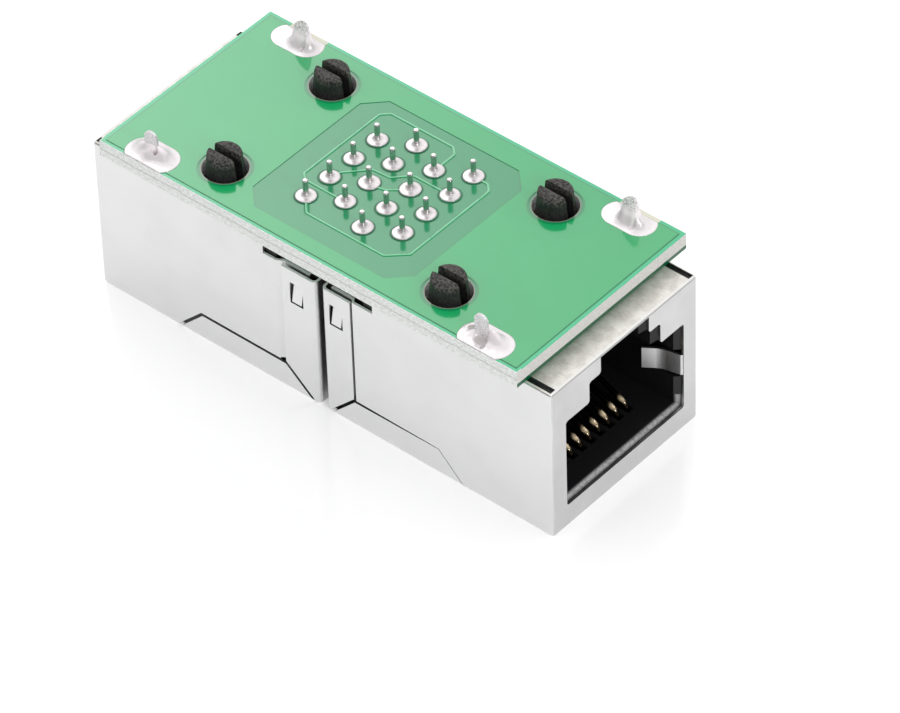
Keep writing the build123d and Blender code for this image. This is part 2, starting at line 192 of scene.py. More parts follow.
class NodeBook:
    """Adds nodes and links to one node tree."""

    def __init__(self, tree: bpy.types.NodeTree) -> None:
        """Hold a tree."""
        self.tree = tree

    def node(self, kind: str, settings: dict | None = None, inputs: dict | None = None) -> bpy.types.Node:
        """Add one node.

        Args:
            kind: The node's type.
            settings: Properties that are set first. "points" fills a float curve.
            inputs: Values or links by input name or number.

        Returns:
            The new node.
        """
        node = self.tree.nodes.new(kind)
        for name, value in (settings or {}).items():
            if name == "points":
                self._fill_curve(node.mapping, value)
            else:
                setattr(node, name, value)
        for name, value in (inputs or {}).items():
            self.feed(node.inputs[name], value)
        return node

    def feed(self, socket: Socket, value: object) -> None:
        """Link or set one input.

        Args:
            socket: The input.
            value: A channel, an output socket, a node for its first output, or a plain value. A colour
                has three parts.
        """
        if isinstance(value, Channel):
            value = value.socket
        if isinstance(value, bpy.types.Node):
            value = value.outputs[0]
        if isinstance(value, Socket):
            self.tree.links.new(value, socket)
        elif socket.type == "RGBA":
            socket.default_value = (*value, 1.0)
        else:
            socket.default_value = value

    def split(self, vector: object) -> tuple[Channel, Channel, Channel]:
        """The three parts of a vector."""
        parts = self.node("ShaderNodeSeparateXYZ", {}, {0: vector})
        return tuple(Channel(self, out) for out in parts.outputs)

    @staticmethod
    def _fill_curve(mapping: bpy.types.CurveMapping, points: Sequence[tuple[float, float]]) -> None:
        """Give a float curve its points, joined by straight runs.

        Args:
            mapping: The node's curve.
            points: Its points, at least two.
        """
        curve = mapping.curves[0]
        while len(curve.points) < len(points):
            curve.points.new(1.0, 1.0)
        for point, place in zip(curve.points, points):
            point.location = place
            point.handle_type = "VECTOR"
        mapping.update()


class Paint(NodeBook):
    """The node tree of one material, with the object's coordinates in millimetres at hand."""

    def __init__(self, name: str) -> None:
        """Start an empty material.

        Args:
            name: The material's name.
        """
        self.material = bpy.data.materials.new(name)
        self.material.use_nodes = True
        super().__init__(self.material.node_tree)
        self.tree.nodes.clear()
        self.output = self.node("ShaderNodeOutputMaterial")
        self.shader = self.node("ShaderNodeBsdfPrincipled")
        self.feed(self.output.inputs["Surface"], self.shader)
        place = self.node("ShaderNodeTexCoord").outputs["Object"]
        scaled = self.node("ShaderNodeVectorMath", {"operation": "SCALE"}, {0: place, "Scale": 1 / MM})
        self.place = scaled.outputs[0]
        self.x, self.y, self.z = self.split(self.place)

    def facing(self) -> tuple[Channel, Channel, Channel]:
        """The three parts of the surface's outward direction."""
        return self.split(self.node("ShaderNodeNewGeometry").outputs["Normal"])

    def grain(self, size: float, detail: float = 2.0, stretch: tuple = (1.0, 1.0, 1.0)) -> Channel:
        """Noise over the surface.

        Args:
            size: Size of its spots in millimetres.
            detail: How much finer noise is on top.
            stretch: Scale along each axis.

        Returns:
            A channel about 0.5.
        """
        warped = self.node("ShaderNodeMapping", {}, {"Vector": self.place, "Scale": stretch})
        settings = {"Scale": 1 / size, "Detail": detail, "Vector": warped}
        return Channel(self, self.node("ShaderNodeTexNoise", {}, settings).outputs[0])

    def blend(self, mask: Number, under: object, over: object) -> Socket:
        """Lay one colour over another.

        Args:
            mask: 0 shows the colour under, 1 the colour over.
            under: A colour or its socket.
            over: A colour or its socket.

        Returns:
            The mixed colour's socket.
        """
        return self.node("ShaderNodeMix", {"data_type": "RGBA"}, {0: mask, 6: under, 7: over}).outputs[2]

    def layers(self, colour: object, *coats: tuple) -> object:
        """Lay colours over one another.

        Args:
            colour: The colour under them all.
            coats: The mask and the colour of each, from the lowest.

        Returns:
            The last colour's socket.
        """
        for mask, over in coats:
            colour = self.blend(mask, colour, over)
        return colour

    def bump(self, height: Channel, depth: float, strength: float) -> Socket:
        """Relief for the Normal socket.

        Args:
            height: The relief.
            depth: Its depth in millimetres.
            strength: Strength of the effect, from 0 to 1.

        Returns:
            The bent normal's socket.
        """
        inputs = {"Height": height, "Distance": depth * MM, "Strength": strength}
        return self.node("ShaderNodeBump", {}, inputs).outputs[0]

    def set(self, **values: object) -> None:
        """Set the shader's sockets, named with underscores for spaces."""
        for name, value in values.items():
            self.feed(self.shader.inputs[name.replace("_", " ")], value)


# Finishes

Colour = tuple[float, float, float]
WHITE = (1.0, 1.0, 1.0)
DIAGONAL = 0.707


def darker(colour: Colour, factor: float) -> Colour:
    """A colour times a factor."""
    return tuple(factor * part for part in colour)


@dataclass(frozen=True)
class BoardPlan:
    """Places on the circuit board, in millimetres."""

    top: float = 15.35
    bottom: float = 13.9
    copper: float = 0.04
    half_length: float = 19.2
    half_width: float = 9.1
    pour_inset: float = 0.35
    peg_x: float = 10.3
    peg_y: float = 5.715
    peg_hole: float = 1.7
    island_x: float = 7.45
    island_y: float = 7.2
    island_shift: float = -0.3
    island_cut: float = 13.15
    pin_columns: tuple = (1.35, 3.89)
    pin_pitch: float = 2.54
    pad: float = 0.8
    pad_x: float = 15.3
    tab_stagger: float = 0.3
    tab_y: float = 7.8
    near_pad_edge: float = 9.06
    far_pad_edge: float = 8.7


@dataclass(frozen=True)
class SolderMask:
    """Glossy green mask over copper and laminate, with the board's bare edges and a painted shadow on its
    ends.
    """

    plan: BoardPlan = BoardPlan()
    skin: float = 0.06
    pour: Colour = (0.006, 0.375, 0.112)
    cloud: Colour = (0.010, 0.425, 0.138)
    cloud_share: float = 0.4
    laminate: Colour = (0.005, 0.275, 0.100)
    border: Colour = (0.003, 0.460, 0.200)
    groove: Colour = (0.002, 0.150, 0.060)
    groove_share: float = 0.3
    groove_width: float = 0.14
    border_groove: float = 0.20
    ring_out: float = 0.3
    ring_share: float = 0.5
    rim: Colour = (0.190, 0.200, 0.150)
    rim_width: float = 0.08
    gap: Colour = (0.001, 0.090, 0.042)
    gap_share: float = 0.7
    gap_out: float = 0.03
    gap_width: float = 0.22
    bare: Colour = (0.720, 0.710, 0.590)
    bare_half: float = 1.7
    edge: Colour = (0.830, 0.850, 0.830)
    edge_shade: float = 0.74
    core: Colour = (0.300, 0.310, 0.300)
    core_share: float = 0.35
    core_width: float = 0.22
    # a darker, warmer tint on the two short ends
    end_tint: Colour = (0.420, 0.385, 0.355)
    end_tint_share: float = 0.5
    # painted shadow: a dark green band along the foot of the short ends, where the gap between board and lip
    # lies in shade
    seam: Colour = (0.000, 0.085, 0.032)
    seam_height: float = 0.38
    chip: float = 0.09
    chip_grain: float = 0.08

    def make(self) -> Material:
        """Build the material.

        Returns:
            The board's material.
        """
        plan, paint = self.plan, Paint("solder_mask")
        x, y, z = paint.x, paint.y, paint.z
        border = (abs(x) - (plan.half_length - plan.pour_inset)).largest(
            abs(y) - (plan.half_width - plan.pour_inset))
        gaps = self._pad_rings(paint) * self.gap_share
        strip = (y > plan.far_pad_edge) * (abs(abs(x) - plan.pad_x) < self.bare_half)
        inside = (z < plan.top - self.skin) * (z > plan.bottom + self.skin)
        chipped = (y < 0.5 - plan.half_width) * self.chip
        limit = plan.pour_inset - 0.01 - chipped + paint.grain(0.5, 4.0) * self.chip_grain
        laminate = inside.largest((border > limit) * (1 - inside))
        ends = abs(x) > plan.half_length - 0.02
        # painted shadow along the foot of the short ends
        seam = ends * (z < plan.bottom + self.seam_height)
        fibre = paint.grain(0.16, 4.0, (0.6, 0.6, 1.4))
        colour = paint.layers(self._face(paint, border, gaps), (strip, self.bare),
                              (laminate, self._edge(paint, fibre, ends)), (seam, self.seam))
        rough = laminate.largest(strip) * (1 - seam)
        relief = paint.grain(2.5, 2.0) + fibre * rough * 0.6
        paint.set(Base_Color=colour, Roughness=0.16 + (rough + gaps) * 0.5, IOR=1.55,
                  Coat_Weight=1 - rough.largest(gaps).largest(seam), Coat_Roughness=0.05, Coat_IOR=1.5,
                  Normal=paint.bump(relief, 0.03, 0.35))
        return paint.material

    def _face(self, paint: Paint, border: Channel, gaps: Channel) -> Socket:
        """Colour the mask on the board's two faces.

        Args:
            paint: The material's nodes.
            border: Distance outside the copper pour, in millimetres.
            gaps: 1 on the gaps round the pins' pads.

        Returns:
            The colour's socket.
        """
        plan, x, y, z = self.plan, paint.x, paint.y, paint.z
        clouds = paint.grain(6.0, 3.0)
        over_copper = (z > plan.top - plan.copper / 2) + (z < plan.bottom + plan.copper / 2)
        shifted = abs(y - plan.island_shift)
        island = (abs(x) - plan.island_x).largest(shifted - plan.island_y).largest(
            (abs(x) + shifted - plan.island_cut) * DIAGONAL)
        ring = length(abs(x) - plan.peg_x, abs(y) - plan.peg_y) - plan.peg_hole
        return paint.layers(
            self.laminate,
            (over_copper, self.pour),
            (clouds.ramped(0.3, 0.8) * over_copper * self.cloud_share, self.cloud),
            (border.ramped(0.02, 0.12), self.border),
            (border.line(self.border_groove) * self.groove_share, self.groove),
            (island.line(self.groove_width) * self.groove_share, self.groove),
            ((ring - self.ring_out).line(self.groove_width) * self.ring_share, self.groove),
            (gaps, self.gap),
            (ring < self.rim_width, self.rim))

    def _edge(self, paint: Paint, fibre: Channel, ends: Channel) -> Socket:
        """Colour the bare laminate on the board's edges.

        Args:
            paint: The material's nodes.
            fibre: Fine noise of the glass cloth.
            ends: 1 on the two short ends, which take a darker, warmer tint.

        Returns:
            The colour's socket.
        """
        plan = self.plan
        core = paint.z - (plan.top + plan.bottom) / 2 + paint.grain(2.0) * 0.3 - 0.15
        return paint.layers(
            darker(self.edge, self.edge_shade),
            (fibre.ramped(0.3, 0.7), self.edge),
            (core.line(self.core_width) * (1 - ends) * self.core_share, self.core),
            (ends * self.end_tint_share, self.end_tint))

    def _pad_rings(self, paint: Paint) -> Channel:
        """Mark the thin gap in the mask round each pin's pad.

        Args:
            paint: The material's nodes.

        Returns:
            1 on the gaps.
        """
        plan = self.plan
        inner, outer = plan.pin_columns
        half = plan.pin_pitch / 2
        found = None
        for columns, start in (((-outer, inner), half / 2), ((-inner, outer), -half / 2)):
            across = abs(paint.x - columns[0]).smallest(abs(paint.x - columns[1]))
            along = (paint.y - start).wrapped(-half, half)
            gap = (length(across, along) - plan.pad - self.gap_out).line(self.gap_width)
            gap = gap * (abs(paint.y + start) < 1.5 * plan.pin_pitch + 0.95)
            found = gap if found is None else found.largest(gap)
        return found * (paint.z > plan.top - self.skin)


@dataclass(frozen=True)
class Trace:
    """Mask over a raised copper track."""

    colour: Colour = (0.100, 0.500, 0.235)
    shade: float = 0.8

    def make(self) -> Material:
        """Build the material.

        Returns:
            The tracks' material.
        """
        paint = Paint("tracks")
        faint = paint.grain(1.5).ramped(0.3, 0.7) * 0.2
        paint.set(Base_Color=paint.blend(faint, self.colour, darker(self.colour, self.shade)),
                  Roughness=0.18, Coat_Weight=1.0, Coat_Roughness=0.04, Coat_IOR=1.6)
        return paint.material


@dataclass(frozen=True)
class PlatedSheet:
    """Nickel-plated sheet: bright and satin, duller and scuffed on the top lip, tinned on the tabs, with
    light and shade painted in.
    """

    top: float = 13.4
    rear: float = 6.5
    # painted highlight on the upward edges behind the lips
    fold_highlight_level: float = 11.0
    # painted shade: the lip stays dull under the board's edge and brightens towards its front between these
    lip_shade_from: float = 19.3
    lip_shade_to: float = 20.8
    # painted highlight along the lip's front rim
    rim_highlight_from: float = 20.88
    rim_to: float = 20.96
    bright: Colour = (0.790, 0.790, 0.790)
    patch_shade: float = 0.93
    # painted shade on the faces that look along the coupler
    painted_front_shade: float = 0.74
    dull_and_shaded: Colour = (0.520, 0.495, 0.450)
    scuffed_and_lit: Colour = (0.920, 0.905, 0.860)
    rim: Colour = (0.800, 0.790, 0.770)
    rim_highlight_share: float = 0.8
    fold_highlight: Colour = (0.950, 0.950, 0.950)
    # painted shade towards the floor
    foot: Colour = (0.300, 0.300, 0.300)
    foot_share: float = 0.08
    tinned: Colour = (0.800, 0.790, 0.800)
    stained: Colour = (0.560, 0.550, 0.555)

    def make(self) -> Material:
        """Build the material.

        Returns:
            The shields' material.
        """
        paint = Paint("plated_sheet")
        facing = paint.facing()
        upward = (facing[2] > 0.7) * (paint.z > self.top - 0.1)
        lip = upward * (abs(paint.x) > self.rear)
        # painted highlight: upward faces high on the walls behind the lips are near-white and matt
        fold_highlight = (facing[2] > 0.5) * (paint.z > self.fold_highlight_level) * (abs(paint.x) < self.rear)
        # painted shade: the sheet darkens towards its foot, below 7 mm
        low = paint.z.ramped(7.0, 1.0)
        # painted shade: faces that look along the coupler are darkened, a little more below 2 mm
        front = (abs(facing[0]) > 0.7) * (1.1 - paint.z.ramped(2.0, 4.0) * 0.2)
        tab = paint.z > self.top + 0.02
        patches = paint.grain(3.5, 4.0)
        scratches = paint.grain(0.25, 3.0, (0.3, 2.2, 1.0))
        specks = paint.grain(0.12, 2.0)
        blotches = paint.grain(0.9, 4.0)
        wear_and_light = scratches.ramped(0.35, 0.75) * 0.15 + specks.ramped(0.4, 0.7) * 0.15
        wear_and_light = wear_and_light + blotches.ramped(0.35, 0.65) * 0.35
        # real scratches, specks and blotches, plus painted shade: darker under the board's edge, lighter
        # towards the lip's front
        wear_and_light = wear_and_light + abs(paint.x).ramped(self.lip_shade_from, self.lip_shade_to) * 0.35
        # painted highlight: a pale matt line along the front rim of the lip
        rim = (facing[2] > 0.6) * (paint.z > self.top - 0.15)
        rim = rim * abs(paint.x).ramped(self.rim_highlight_from, self.rim_to) * self.rim_highlight_share
        colour = paint.layers(
            self.bright,
            (patches.ramped(0.35, 0.75) * 0.5, darker(self.bright, self.patch_shade)),
            (front * (0.5 + patches), darker(self.bright, self.painted_front_shade)),
            (lip, paint.blend(wear_and_light, self.dull_and_shaded, self.scuffed_and_lit)),
            (rim, self.rim),
            (tab, paint.blend(specks.ramped(0.4, 0.7), self.tinned, self.stained)),
            (fold_highlight, self.fold_highlight),
            (low * (1 - front) * self.foot_share, self.foot))
        rough = 0.30 + patches * 0.08 + lip * (0.08 + scratches * 0.1) + tab * 0.18
        relief = scratches * (lip + 0.12) + specks * lip.largest(tab) * 0.8 + patches * 0.5
        paint.set(Base_Color=colour, Metallic=1 - (lip * 0.65).largest(rim) - tab * 0.5 - fold_highlight,
                  Roughness=rough, Normal=paint.bump(relief, 0.02, 0.35))
        return paint.material


@dataclass(frozen=True)
class BlackMoulding:
    """Black glass-filled plastic, rough and paler on the broken faces of the pegs, with a painted highlight
    on each port's lower bevel.
    """

    peg_top: float = 16.35
    outside_level: float = 14.6
    mouth: float = 20.95
    bevel: float = 0.5
    bevel_highlight_level: float = 3.0
    base: Colour = (0.008, 0.008, 0.009)
    broken: Colour = (0.085, 0.078, 0.070)
    # painted highlight colour on the port's lower bevel
    bevel_highlight: Colour = (0.360, 0.360, 0.360)

    def make(self) -> Material:
        """Build the material.

        Returns:
            The mouldings' material.
        """
        paint = Paint("black_moulding")
        specks = paint.grain(0.16, 4.0)
        outside = paint.z > self.outside_level
        tops = paint.z.ramped(self.peg_top - 0.25, self.peg_top + 0.2)
        spread = (tops * 0.9 + outside * 0.2) * specks.ramped(0.35, 0.65)
        colour = paint.blend(spread, self.base, self.broken)
        deep = self.mouth - abs(paint.x)
        # painted highlight, speckled: a grey band on the rounded bevel at the foot of each port's mouth
        hump = deep.ramped(0.06, self.bevel * 0.55) * deep.ramped(self.bevel, self.bevel * 0.6)
        bevel_highlight_mask = hump * (paint.z < self.bevel_highlight_level) * (paint.grain(0.14, 4.0, (0.6, 0.6, 1.0)) * 2.0 - 0.05)
        colour = paint.blend(bevel_highlight_mask, colour, self.bevel_highlight)
        relief = specks * (0.25 + outside * 0.4 + tops + bevel_highlight_mask)
        paint.set(Base_Color=colour, Roughness=0.34 + outside * 0.14 + tops * 0.18, Specular_IOR_Level=0.4,
                  Normal=paint.bump(relief, 0.06, 0.7))
        return paint.material


@dataclass(frozen=True)
class PlatedWire:
    """Contact wire: gold at the noses in the port, painted near-black as shade elsewhere in it, tinned where
    it stands out of the board.
    """

    tin_level: float = 13.75
    nose_end: float = 18.52
    gold: Colour = (1.000, 0.810, 0.540)
    # painted shade of the port on the wires
    dark: Colour = (0.030, 0.022, 0.014)
    tin: Colour = (0.720, 0.685, 0.690)

    def make(self) -> Material:
        """Build the material.

        Returns:
            The contacts' material.
        """
        paint = Paint("plated_wire")
        tinned = paint.z > self.tin_level
        smudge = paint.grain(0.3, 3.0)
        # painted shade: gold shows only at the noses, where light reaches; the rest in the port is painted
        # near-black
        back = self.nose_end - abs(paint.x)
        lit_gold = back.ramped(1.05, 0.70) * paint.z.ramped(2.65, 3.0)
        colour = paint.blend(lit_gold, self.dark, self.gold)
        paint.set(Base_Color=paint.blend(tinned, colour, self.tin),
                  Metallic=1 - (lit_gold * 0.3).largest(tinned * 0.05),
                  Roughness=0.12 + smudge * 0.12 + tinned * 0.03, Normal=paint.bump(smudge, 0.01, 0.4))
        return paint.material


@dataclass(frozen=True)
class Solder:
    """Bright tin solder with a soft, slightly warm sheen and fine pits, painted paler on the tabs and high
    up, and dark flux that also paints the shade in its hollows.

    A hollow is its middle and its half width along X and Y, in millimetres.
    """

    board_top: float = 15.35
    tab_side: float = 5.8
    bright: Colour = (0.750, 0.705, 0.715)
    shade: Colour = (0.590, 0.550, 0.570)
    # painted sheen: paler, less metallic solder on the tab joints
    tabs: Colour = (0.900, 0.850, 0.870)
    tabs_share: float = 0.5
    # painted light on solder that stands high above the board
    standing_sheen: Colour = (0.930, 0.850, 0.890)
    pitted: Colour = (0.300, 0.280, 0.290)
    pitted_share: float = 0.8
    # dark flux, which also stands for the painted shade of the holes
    flux_and_shade: Colour = (0.080, 0.066, 0.022)
    flux_and_shade_shade: float = 0.4
    hollows: tuple = (
        (15.26, -8.22, 0.52, 0.43), (15.74, -8.62, 0.17, 0.26),
        (13.9, -7.6, 0.26, 0.27), (-14.9, -8.2, 0.16, 0.13))

    def make(self) -> Material:
        """Build the material.

        Returns:
            The solder's material.
        """
        paint = Paint("solder")
        clouds = paint.grain(0.7, 3.0)
        pits = paint.grain(0.13, 3.0)
        # painted shade: solder below the board's top and in the listed hollows takes the dark flux colour,
        # for flux and the shade of the holes
        deep = paint.z < self.board_top - 0.03
        low = paint.z < self.board_top + 0.16
        for x, y, half_x, half_y in self.hollows:
            away = length((paint.x - x) / half_x, (paint.y - y) / half_y)
            deep = deep.largest(low * (away + clouds * 0.3).ramped(1.2, 1.0))
        high = paint.z.ramped(self.board_top + 0.9, self.board_top + 1.6)
        # painted light: solder standing high is paler, less metallic and rougher
        standing_sheen = paint.z.ramped(self.board_top + 0.35, self.board_top + 1.0)
        # painted sheen on the tab joints
        tabs = abs(paint.y) > self.tab_side
        flux_and_shade = paint.blend(pits.ramped(0.35, 0.65), darker(self.flux_and_shade, self.flux_and_shade_shade), self.flux_and_shade)
        colour = paint.layers(
            self.bright,
            (clouds.ramped(0.35, 0.7) * 0.6, self.shade),
            (deep, flux_and_shade),
            (tabs * self.tabs_share, self.tabs),
            (standing_sheen, self.standing_sheen),
            (high * pits.ramped(0.45, 0.65) * self.pitted_share, self.pitted))
        paint.set(Base_Color=colour, Metallic=(1 - deep) * (0.65 - (tabs * 0.25).largest(standing_sheen * 0.5)),
                  Roughness=0.22 + clouds * 0.16 + standing_sheen * 0.2 + deep * 0.3,
                  Normal=paint.bump(clouds * 0.8 + pits * (0.12 + high * 0.8), 0.06, 0.5))
        return paint.material


@dataclass(frozen=True)
class StudioFloor:
    """White polished floor that keeps a faint mirror image of the coupler."""

    base: Colour = (0.850, 0.850, 0.850)
    gloss: float = 0.13
    gloss_roughness: float = 0.15
    lift: float = 0.27
    lift_in_gloss: float = 0.85

    def make(self) -> Material:
        """Build the material.

        Returns:
            The floor's material.
        """
        paint = Paint("studio_floor")
        paint.set(Base_Color=self.base, Roughness=1.0, Specular_IOR_Level=0.0)
        paths = paint.node("ShaderNodeLightPath").outputs
        in_gloss = Channel(paint, paths["Is Glossy Ray"]) * self.lift_in_gloss
        seen = Channel(paint, paths["Is Camera Ray"]).largest(in_gloss)
        mirror = paint.node("ShaderNodeBsdfGlossy", {}, {"Color": WHITE, "Roughness": self.gloss_roughness})
        mixed = paint.node("ShaderNodeMixShader", {}, {0: self.gloss, 1: paint.shader, 2: mirror})
        lift = paint.node("ShaderNodeEmission", {}, {"Color": WHITE, "Strength": seen * self.lift})
        total = paint.node("ShaderNodeAddShader", {}, {0: mixed, 1: lift})
        paint.feed(paint.output.inputs["Surface"], total)
        return paint.material


# Making meshes

def add_object(name: str, data: bpy.types.ID) -> bpy.types.Object:
    """Add an object to the scene, at the origin.

    Args:
        name: Its name.
        data: Its mesh, lamp or camera.

    Returns:
        The new object.
    """
    added = bpy.data.objects.new(name, data)
    bpy.context.scene.collection.objects.link(added)
    return added


def finish_piece(mesh: Mesh, name: str, material: Material,
                 replaces: Sequence[str] = ()) -> bpy.types.Object:
    """Turn a finished mesh into a piece of the coupler.

    Args:
        mesh: The mesh, already in place.
        name: The piece's name.
        material: Its finish.
        replaces: Frame nodes that the piece stands for.

    Returns:
        The new object.
    """
    piece = add_object(name, mesh)
    mesh.materials.clear()
    mesh.materials.append(material)
    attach(piece, "root")
    if replaces:
        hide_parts(*replaces)
    LOG.info("%s: %d faces", name, len(mesh.polygons))
    return piece


class Rule(NodeBook):
    """A Geometry Nodes tree that turns a guide mesh into a finished one."""

    def __init__(self, name: str, sizes: dict[str, float]) -> None:
        """Start a tree.

        Args:
            name: The tree's name.
            sizes: Its named inputs, in metres or plain numbers.
        """
        super().__init__(bpy.data.node_groups.new(name, "GeometryNodeTree"))
        face = self.tree.interface
        kinds = {"Guide": "Geometry", **dict.fromkeys(sizes, "Float"), "Finish": "Material"}
        for label, kind in kinds.items():
            face.new_socket(label, in_out="INPUT", socket_type=f"NodeSocket{kind}")
        face.new_socket("Piece", in_out="OUTPUT", socket_type="NodeSocketGeometry")
        self.sizes = sizes
        self.inputs = self.node("NodeGroupInput")
        self.end = self.node("NodeGroupOutput")

    def size(self, label: str) -> Channel:
        """One of the named inputs."""
        return Channel(self, self.inputs.outputs[label])

    def close(self, result: bpy.types.Node) -> None:
        """Realize, smooth and paint the result, and send it out.

        Args:
            result: The node that ends with it.
        """
        real = self.node("GeometryNodeRealizeInstances", {}, {0: result})
        smooth = self.node("GeometryNodeSetShadeSmooth", {}, {0: real})
        painted = self.node("GeometryNodeSetMaterial", {},
                            {"Geometry": smooth, "Material": self.inputs.outputs["Finish"]})
        self.feed(self.end.inputs[0], painted)

    def run(self, guide: Mesh, material: Material) -> Mesh:
        """Work the tree on a guide.

        Args:
            guide: The guide mesh.
            material: The finish.

        Returns:
            The plain result.
        """
        carrier = add_object("guide", guide)
        modifier = carrier.modifiers.new("rule", "NODES")
        modifier.node_group = self.tree
        items = self.tree.interface.items_tree
        sockets = {item.name: item.identifier for item in items if item.in_out == "INPUT"}
        for label, value in self.sizes.items():
            modifier[sockets[label]] = value
        modifier[sockets["Finish"]] = material
        ready = carrier.evaluated_get(bpy.context.evaluated_depsgraph_get())
        mesh = bpy.data.meshes.new_from_object(ready)
        carrier.modifiers.remove(modifier)
        bpy.data.objects.remove(carrier)
        return mesh


def guide_mesh(name: str, points: Sequence[tuple], edges: Sequence[tuple] = ()) -> Mesh:
    """Make a mesh of points and edges.

    Args:
        name: Its name.
        points: The points, in millimetres.
        edges: Pairs of point numbers.

    Returns:
        The new mesh.
    """
    mesh = bpy.data.meshes.new(name)
    mesh.from_pydata([tuple(c * MM for c in point) for point in points], list(edges), [])
    return mesh


# Circuit board

@dataclass
class CircuitBoard:
    """The green board with its raised tracks and the solder on its pins."""

    plan: BoardPlan = BoardPlan()
    track_width: float = 0.18
    track_height: float = 0.05
    track_corner: float = 0.25
    joint_hole: float = 0.18
    joint_rise: float = 0.24
    joint_film: float = 0.11
    joint_rings: int = 25
    joint_steps: int = 33
    joint_scale: tuple = (0.95, 1.04)
    joint_weld: float = 0.002
    joint_seed: float = 7.0
    # Over the run out along the top, back under the foot and up again inside: radius, climb and film
    joint_out: tuple = ((0.0, 0.0), (0.7, 1.0), (0.9, 0.0), (1.0, 0.0))
    joint_climb: tuple = (
        (0.0, 1.0), (0.05, 0.68), (0.12, 0.38), (0.22, 0.15), (0.35, 0.04), (0.5, 0.0), (0.9, 0.0),
        (1.0, 1.0))
    joint_skin: tuple = (
        (0.0, 1.0), (0.45, 0.95), (0.58, 0.82), (0.66, 0.55), (0.7, 0.0), (0.9, 0.0), (1.0, 1.0))

    def pins(self, end: End) -> list[tuple[float, float]]:
        """Places of one jack's pins, in millimetres.

        Args:
            end: The jack.

        Returns:
            Eight flat places, numbered as in the frame.
        """
        inner, outer = self.plan.pin_columns
        places = []
        for index in range(8):
            column = inner if index % 2 == 0 else outer
            places.append((end.value * column, end.value * (index - 3.5) * self.plan.pin_pitch / 2))
        return places

    def routes(self) -> list[list[tuple[float, float]]]:
        """Lead the four tracks on top from a pin of one jack to its partner.

        Returns:
            Each track's corners, in millimetres.
        """
        a, b = self.pins(End.A), self.pins(End.B)
        return [
            [a[7], (-3.3, -5.1), (-2.7, -5.75), (4.4, -5.75), (5.75, -4.5), (5.75, 3.9), (5.2, 4.45), b[7]],
            [b[6], (1.35, 5.4), (0.75, 5.95), (-5.0, 5.95), (-5.6, 5.35), (-5.6, -2.7), (-5.1, -3.175), a[6]],
            [a[5], (-3.7, -1.1), (-2.1, 0.6), (-0.6, 0.7), (0.6, 1.9), b[5]],
            [a[4], (-0.6, -0.635), (0.0, -0.5), b[4]],
        ]

    def track_rule(self) -> Rule:
        """Rule that lays a low rounded strip along each edge chain of its guide.

        Returns:
            The rule, with the strip's width and height as sizes.
        """
        rule = Rule("track_rule", {"Width": self.track_width * MM, "Height": self.track_height * MM,
                                   "Corner": self.track_corner * MM})
        path = rule.node("GeometryNodeMeshToCurve", {}, {0: rule.inputs.outputs["Guide"]})
        rounded = rule.node("GeometryNodeFilletCurve", {}, {"Curve": path, "Radius": rule.size("Corner")})
        upright = rule.node("GeometryNodeSetCurveNormal", {"mode": "Z_UP"}, {"Curve": rounded})
        circle = rule.node("GeometryNodeCurvePrimitiveCircle", {"mode": "RADIUS"},
                           {"Resolution": 12, "Radius": 1.0})
        scale = rule.node("ShaderNodeCombineXYZ", {},
                          {0: rule.size("Width") * 0.5, 1: rule.size("Height") * 0.5, 2: 1.0})
        profile = rule.node("GeometryNodeTransform", {}, {"Geometry": circle, "Scale": scale})
        strip = rule.node("GeometryNodeCurveToMesh", {}, {"Curve": upright, 1: profile, "Fill Caps": True})
        rule.close(strip)
        return rule

    def joint_rule(self) -> Rule:
        """Rule that sets one hollow cone of solder on every point of its guide.

        Returns:
            The rule, with the joint's radii and heights as sizes.
        """
        rule = Rule("joint_rule", {"Foot": self.plan.pad * MM, "Pin": self.joint_hole * MM,
                                   "Film": self.joint_film * MM, "Rise": self.joint_rise * MM,
                                   "Seed": self.joint_seed})
        grid = rule.node("GeometryNodeMeshGrid", {}, {"Size X": 1.0, "Size Y": 1.0,
                                                      "Vertices X": self.joint_rings,
                                                      "Vertices Y": self.joint_steps})
        x, y, _ = rule.split(rule.node("GeometryNodeInputPosition"))
        along, turn = x + 0.5, (y + 0.5) * math.tau
        out, climb, skin = (
            Channel(rule, rule.node("ShaderNodeFloatCurve", {"points": points}, {"Value": along}).outputs[0])
            for points in (self.joint_out, self.joint_climb, self.joint_skin))
        radius = rule.size("Pin") + (rule.size("Foot") - rule.size("Pin")) * out
        height = rule.size("Film") * skin + rule.size("Rise") * climb
        bent = rule.node("ShaderNodeCombineXYZ", {},
                         {0: radius * turn.cosine(), 1: radius * turn.sine(), 2: height})
        cone = rule.node("GeometryNodeSetPosition", {}, {"Geometry": grid, "Position": bent})
        closed = rule.node("GeometryNodeMergeByDistance", {},
                           {"Geometry": cone, "Distance": self.joint_weld * MM})
        sizes, turns = (
            rule.node("FunctionNodeRandomValue", {"data_type": "FLOAT"},
                      {2: low, 3: high, "Seed": rule.size("Seed")})
            for low, high in (self.joint_scale, (0.0, math.tau)))
        spin = rule.node("ShaderNodeCombineXYZ", {}, {2: turns.outputs[1]})
        set_out = rule.node("GeometryNodeInstanceOnPoints", {}, {
            "Points": rule.inputs.outputs["Guide"], "Instance": closed,
            "Rotation": spin, "Scale": sizes.outputs[1]})
        rule.close(set_out)
        return rule

